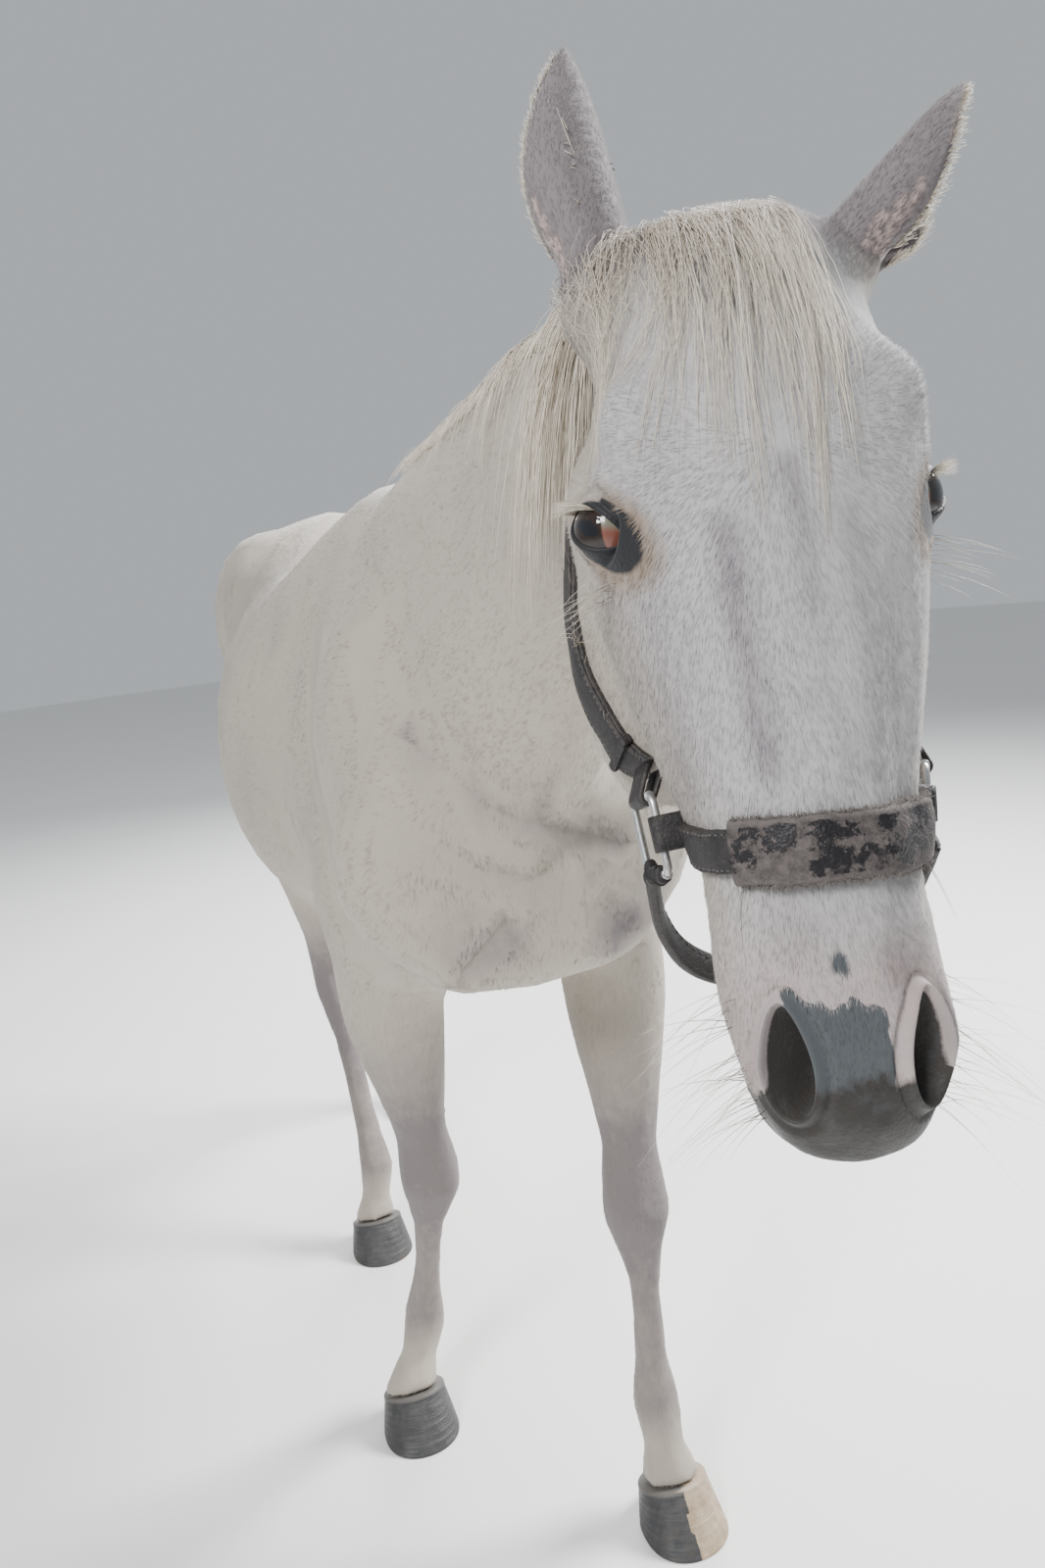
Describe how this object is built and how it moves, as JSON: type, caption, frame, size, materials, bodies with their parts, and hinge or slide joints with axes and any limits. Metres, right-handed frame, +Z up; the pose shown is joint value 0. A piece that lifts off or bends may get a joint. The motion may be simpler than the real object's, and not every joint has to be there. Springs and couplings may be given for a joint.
{
  "type": "standing pony",
  "caption": "Pale grey pony standing in a short stride with its head lowered and turned a little, wearing a worn black leather halter with square rings.",
  "frame": {"origin": "middle of the model's footprint on the floor, at floor level", "axes": "-Y forward, the way the pony faces; +X its left side; +Z up"},
  "size_m": [0.599, 2.3328, 1.6408],
  "materials": {
    "coat": "short pale grey coat over skin, flesh and bone",
    "hair": "long cream hair",
    "hoof_horn": "dark hoof horn",
    "eye": "wet dark brown eye",
    "leather": "black bridle leather, worn",
    "nose_pad": "cracked grey brown suede padding",
    "steel": "galvanised"
  },
  "bodies": {
    "root": {"barrel": "coat", "cannon_fore_left": "coat", "cannon_fore_right": "coat", "cannon_hind_left": "coat", "cannon_hind_right": "coat", "ear_left": "coat", "ear_right": "coat", "eye_left": "eye", "eye_right": "eye", "forearm_left": "coat", "forearm_right": "coat", "forelock": "hair", "gaskin_left": "coat", "gaskin_right": "coat", "halter_buckle": "steel", "halter_cheek_left": "leather", "halter_cheek_right": "leather", "halter_chin_strap": "leather", "halter_crown": "leather", "halter_nose_pad": "nose_pad", "halter_noseband": "leather", "halter_ring_left": "steel", "halter_ring_right": "steel", "head": "coat", "hindquarters": "coat", "hoof_fore_left": "hoof_horn", "hoof_fore_right": "hoof_horn", "hoof_hind_left": "hoof_horn", "hoof_hind_right": "hoof_horn", "mane": "hair", "neck": "coat", "pastern_fore_left": "coat", "pastern_fore_right": "coat", "pastern_hind_left": "coat", "pastern_hind_right": "coat", "shoulders": "coat", "tail": "hair"}
  },
  "joints": []
}
